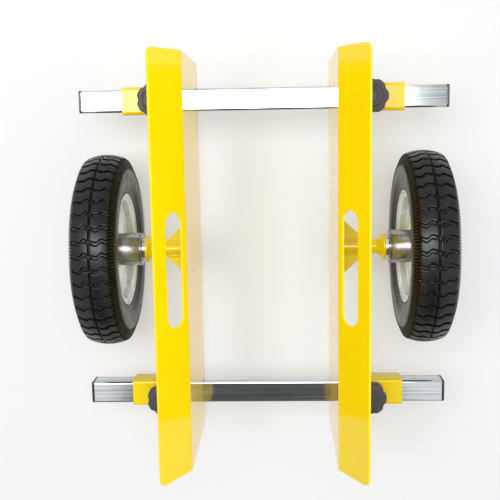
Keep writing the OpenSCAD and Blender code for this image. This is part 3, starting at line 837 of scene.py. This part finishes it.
def end_cap(name, side):
    """A plug with a rounded plate over the tube's end and a shallow panel in its face."""
    lo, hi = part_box(name)
    middle = (lo + hi) / 2
    face, back = (hi.x, lo.x) if side > 0 else (lo.x, hi.x)
    half = (hi.y - lo.y) / 2
    seat = face - side * cap_plate
    fine = cap_fine
    lead = 3 * fine
    # Rows as (half width, corner radius, place along X)
    plug = (cap_plug_half, cap_plug_corner)
    rows = [(cap_plug_half - lead, cap_plug_corner - lead, back), (*plug, back + side * lead)]
    rows += [(*plug, seat), (half - fine, cap_corner - fine, seat), (half, cap_corner, seat + side * fine)]
    for k in range(cap_edge_steps + 1):
        a = QUARTER * k / cap_edge_steps
        inset = cap_edge * (1 - math.cos(a))
        rows.append((half - inset, cap_corner - inset, face - side * cap_edge * (1 - math.sin(a))))
    panel = half - cap_panel_inset
    rows += [(panel, cap_plug_corner, face), (panel - fine, cap_plug_corner - fine, face - side * fine)]
    points = []
    for width, radius, x in rows:
        points += [Vector((x, middle.y + y, middle.z + z)) for y, z in rounded_square(width, radius)]
    faces = closed_faces(len(rows), len(points) // len(rows))
    if side < 0:
        faces = turned_over(faces)
    new_piece(f"{name}_moulded", points, faces, "crossbars", "cap_plastic", [name])


# Wheels

def turned_hub(name, side):
    """The hub with the seam of its end cover near the inner end."""
    lo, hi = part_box(f"{name}_hub")
    outer = (hi.z - lo.z) / 2
    start, end = (lo.x, hi.x) if side > 0 else (hi.x, lo.x)
    low = outer - hub_seam_depth
    after = hub_seam_at + hub_seam_w
    soft = hub_edge / 3
    steps = [(0, bearing_r), (0, outer - hub_edge), (soft, outer - soft), (hub_edge, outer)]
    steps += [(hub_seam_at - soft, outer), (hub_seam_at, outer - soft), (hub_seam_at, low)]
    steps += [(after, low), (after, outer - soft), (after + soft, outer)]
    back = [(hub_edge, outer), (soft, outer - soft), (0, outer - hub_edge), (0, bearing_r)]
    outline = [(start + side * x, r) for x, r in steps] + [(end - side * x, r) for x, r in back]
    if side > 0:
        outline.reverse()
    angles = around(hub_columns)
    points = []
    for x, radius in outline:
        points += [Vector((x, radius * math.cos(a), wheel_z + radius * math.sin(a))) for a in angles]
    faces = grid_faces(len(outline), hub_columns, close_rows=True)
    body, node = f"{name}_wheel", f"{name}_hub"
    new_piece(f"{name}_turned_hub", points, faces, body, "zinc", [node], hub_finish)


def fluted_cap(name):
    """The valve's dust cap with flutes round it and a domed end."""
    node = f"{name}_valve_cap"
    lo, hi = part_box(node)
    stem_lo, stem_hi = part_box(f"{name}_valve")
    middle = (lo + hi) / 2
    axis = (middle - (stem_lo + stem_hi) / 2).normalized()
    up = Vector((0, 0, 1))
    side = axis.cross(up)
    outer = (hi.z - lo.z) / 2
    flute = valve_cap_flute_h
    # Rows as (place along the cap, inset, depth share of the flutes)
    rows = ((0.0, flute, 0), (flute, 0.0, 0), (3 * flute, 0.0, 0), (4 * flute, 0.0, 1))
    rows += ((valve_cap_len - 4 * flute, 0.0, 1), (valve_cap_len - 3 * flute, flute, 0))
    rows += ((valve_cap_len - flute, 2 * flute, 0), (valve_cap_len, 4 * flute, 0))
    columns = valve_cap_flutes * valve_cap_columns_per_flute
    points = []
    for along, inset, depth in rows:
        foot = middle + axis * (along - valve_cap_len / 2)
        for angle in around(columns):
            radius = outer - inset - flute * depth * (0.5 + 0.5 * math.cos(valve_cap_flutes * angle))
            points.append(foot + radius * (math.cos(angle) * up + math.sin(angle) * side))
    faces = turned_over(closed_faces(len(rows), columns))
    new_piece(f"{name}_fluted_valve_cap", points, faces, f"{name}_wheel", cap_slot, [node])


# Floor, light and camera

def make_floor():
    """A plain pale floor that keeps the cart's shadow, with a little white glow where it is seen."""
    mesh = bpy.data.meshes.new("floor")
    corners = [(x * floor_half, y * floor_half, 0) for x, y in ((-1, -1), (1, -1), (1, 1), (-1, 1))]
    mesh.from_pydata(corners, [], [(0, 1, 2, 3)])
    values = {"Base_Color": floor_colour, "Roughness": floor_roughness, "Specular_IOR_Level": floor_specular}
    material, tree, principled = shader("floor", **values)
    glow = add(tree, "ShaderNodeEmission", {"Color": white, "Strength": 1.0})
    glow_share = times(tree, seen_ray(tree), floor_glow)
    layers = add(tree, "ShaderNodeMixShader", {0: glow_share, 1: principled.outputs[0], 2: glow.outputs[0]})
    tree.links.new(layers.outputs[0], tree.nodes["Material Output"].inputs["Surface"])
    mesh.materials.append(material)
    floor = bpy.data.objects.new("floor", mesh)
    scene.collection.objects.link(floor)


def make_surround():
    """A world whose brightness depends on the direction."""
    world = bpy.data.worlds.new("surround")
    scene.world = world
    world.use_nodes = True
    sky = world.node_tree
    way = add(sky, "ShaderNodeTexCoord").outputs["Generated"]
    parts = add(sky, "ShaderNodeSeparateXYZ", {0: way}).outputs
    right, back = parts["X"], parts["Y"]
    # Dark where the photographer stands
    ahead = times(sky, back, -1.0)
    beside = math_node(sky, "ABSOLUTE", math_node(sky, "SUBTRACT", right, photographer_side))
    off_middle = math_node(sky, "SUBTRACT", beside, times(sky, ahead, photographer_spread))
    past_side = spread(sky, off_middle, 0, 1, photographer_half, photographer_half + photographer_soft)
    past_back = spread(sky, ahead, 1, 0, photographer_start, photographer_start + photographer_soft)
    clear = math_node(sky, "MAXIMUM", past_side, past_back)
    shade = spread(sky, clear, photographer_level, 1.0, 0, 1)
    # Brighter from the right, and white in mirrors
    lean = math_node(sky, "ADD", times(sky, right, surround_lean), 1.0)
    level = spread(sky, seen_ray(sky), times(sky, lean, surround_level), 1.0, 0, 1)
    # Dimmer high up on the right
    dim_right = spread(sky, right, 0, 1, dim_start, dim_start + dim_soft)
    dim_short = spread(sky, right, 1, 0, dim_end, dim_end + dim_soft)
    dim_behind = spread(sky, back, 0, 1, dim_back, dim_back + dim_soft)
    dim = spread(sky, times(sky, dim_right, dim_short, dim_behind), 1.0, dim_level, 0, 1)
    # The camera itself sees plain white beyond the floor
    from_camera = add(sky, "ShaderNodeLightPath").outputs["Is Camera Ray"]
    strength = spread(sky, from_camera, times(sky, level, dim, shade), 1.0, 0, 1)
    background = sky.nodes["Background"]
    background.inputs["Color"].default_value = white
    sky.links.new(strength, background.inputs["Strength"])


def make_soft_box(name, middle, length, share):
    """A lamp above the cart, as bright as its share of the usual power."""
    light = bpy.data.lights.new(name, "AREA")
    light.shape = "RECTANGLE"
    light.size, light.size_y = length, box_w
    light.energy = box_watts_per_area * length * box_w * share
    lamp = bpy.data.objects.new(name, light)
    lamp.location = (middle, box_y, box_z)
    scene.collection.objects.link(lamp)


def make_camera():
    """The photograph's camera."""
    lens = bpy.data.cameras.new("camera")
    lens.sensor_width = sensor_w
    lens.lens = sensor_w * focal_pixels / image_pixels
    camera = bpy.data.objects.new("camera", lens)
    camera.location = camera_place
    camera.rotation_mode = "QUATERNION"
    camera.rotation_quaternion = Quaternion(camera_turn.normalized(), camera_turn.length).inverted()
    scene.collection.objects.link(camera)
    scene.camera = camera


# Finishes, by the record's slots

finishes = {
    "yellow_paint": yellow_paint(),
    "zinc": zinc(),
    "rim_silver": rim_silver(),
    "tyre_rubber": tyre_rubber(),
    "tube_rubber": tube_rubber(),
    "cap_plastic": moulded_plastic("cap_plastic", cap_greys, grain=0.08, smoothest=0.16, roughest=0.26),
    "knob_plastic": moulded_plastic("knob_plastic", knob_greys, grain=0.22, smoothest=0.36, roughest=0.50),
}
hub_finish = hub_steel()
bearing_finish = sealed_bearing()
for node, slot in slots.items():
    for material_slot in frame["nodes"][node].material_slots:
        material_slot.material = bearing_finish if node.endswith("bearing") else finishes[slot]

# Pieces

for name, side in SIDES.items():
    tyre(name, side)
    frame_welds(name, side)
    turned_hub(name, side)
    fluted_cap(name)
    soften(f"{name}_side_plate", plate_edge_r)
    for node in ("gussets", "collar", "front_sleeve", "rear_sleeve"):
        soften(f"{name}_{node}", edge_r)
    for node in ("inner_washers", "outer_washer", "axle_nut", "front_nut", "rear_nut"):
        soften(f"{name}_{node}", fine_edge_r)
    for end in ENDS:
        threaded_screw(f"{name}_{end}_screw")
        star_knob(f"{name}_{end}_knob")
        end_cap(f"{name}_{end}_cap", side)

# Stage

scene.view_settings.view_transform = "Standard"
make_floor()
make_surround()
for box_name, box_values in box_parts.items():
    make_soft_box(box_name, *box_values)
make_camera()
